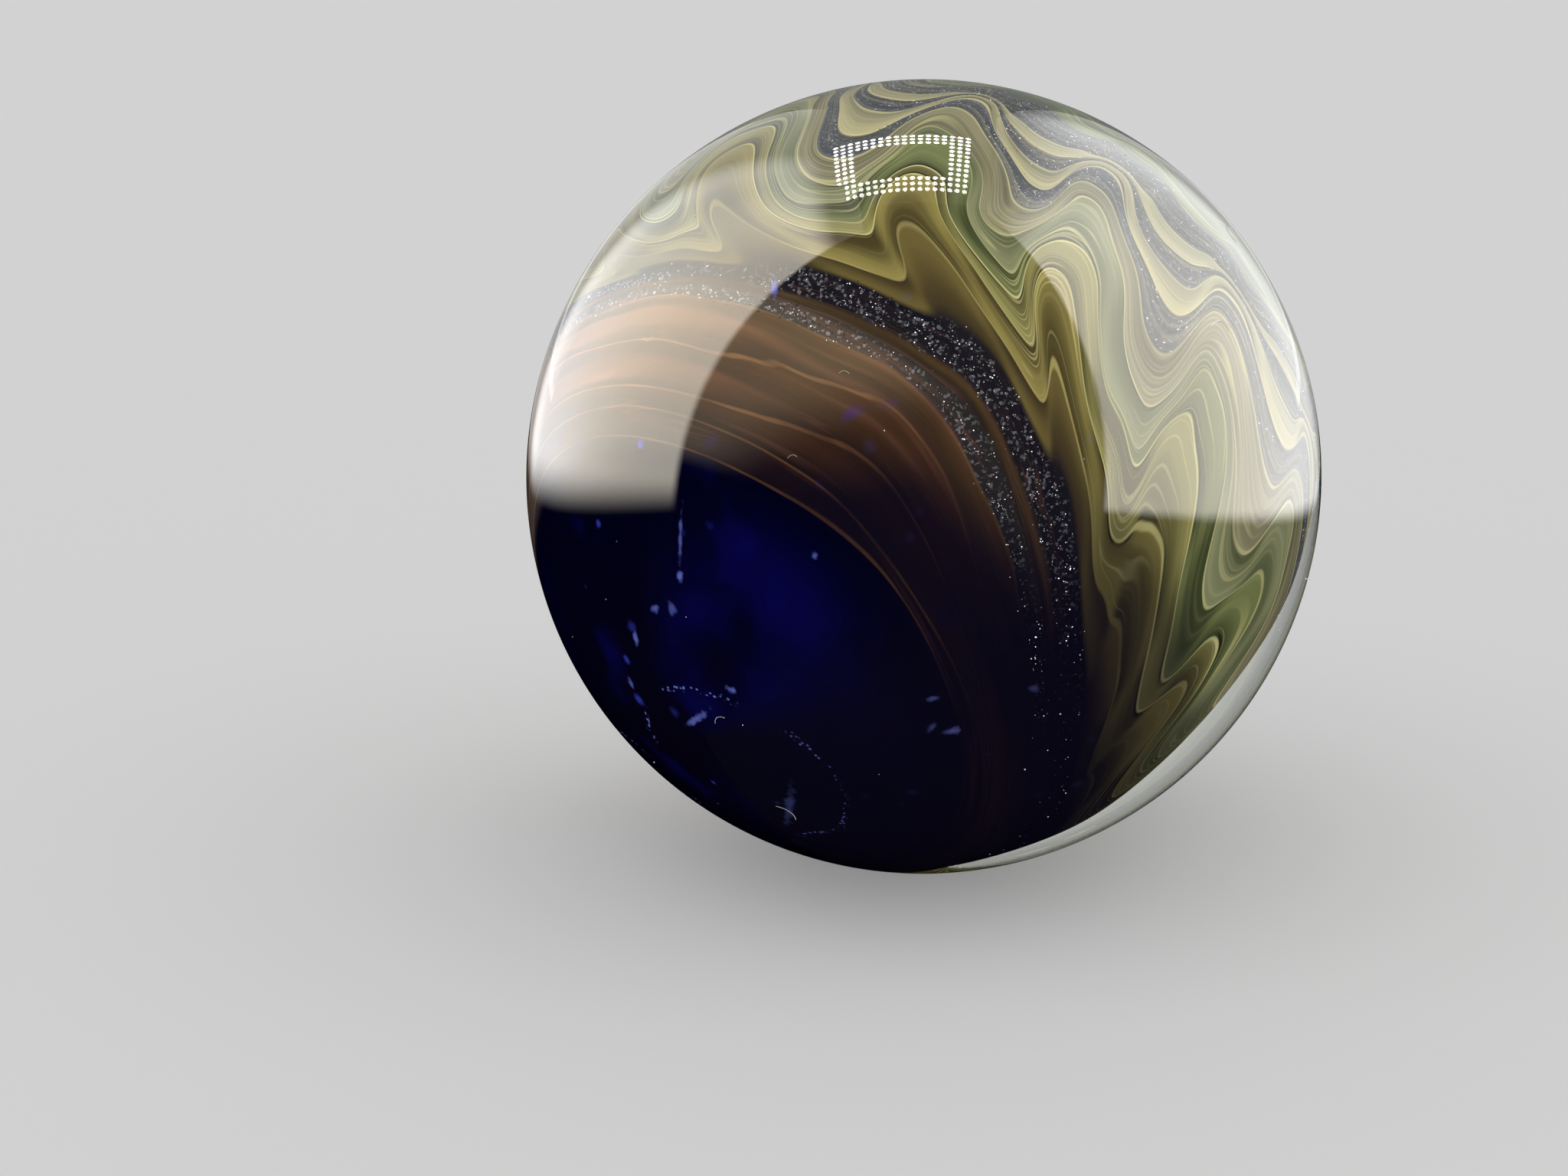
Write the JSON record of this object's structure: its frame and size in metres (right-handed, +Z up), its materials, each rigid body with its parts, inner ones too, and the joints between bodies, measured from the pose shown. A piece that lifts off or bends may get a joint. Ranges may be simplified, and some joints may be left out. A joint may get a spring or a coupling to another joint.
{
  "type": "glass marble",
  "caption": "Solid glass ball with swirled cobalt, brown, olive and cream glass under a clear casing.",
  "frame": {"origin": "centre of the ball", "axes": "+Z up, -Y towards the viewer, with the dark cobalt side low at the front left"},
  "size_m": [0.0508, 0.0508, 0.0508],
  "materials": {
    "swirled_glass": "fire-polished"
  },
  "bodies": {
    "root": {"marble": "swirled_glass"}
  },
  "joints": []
}
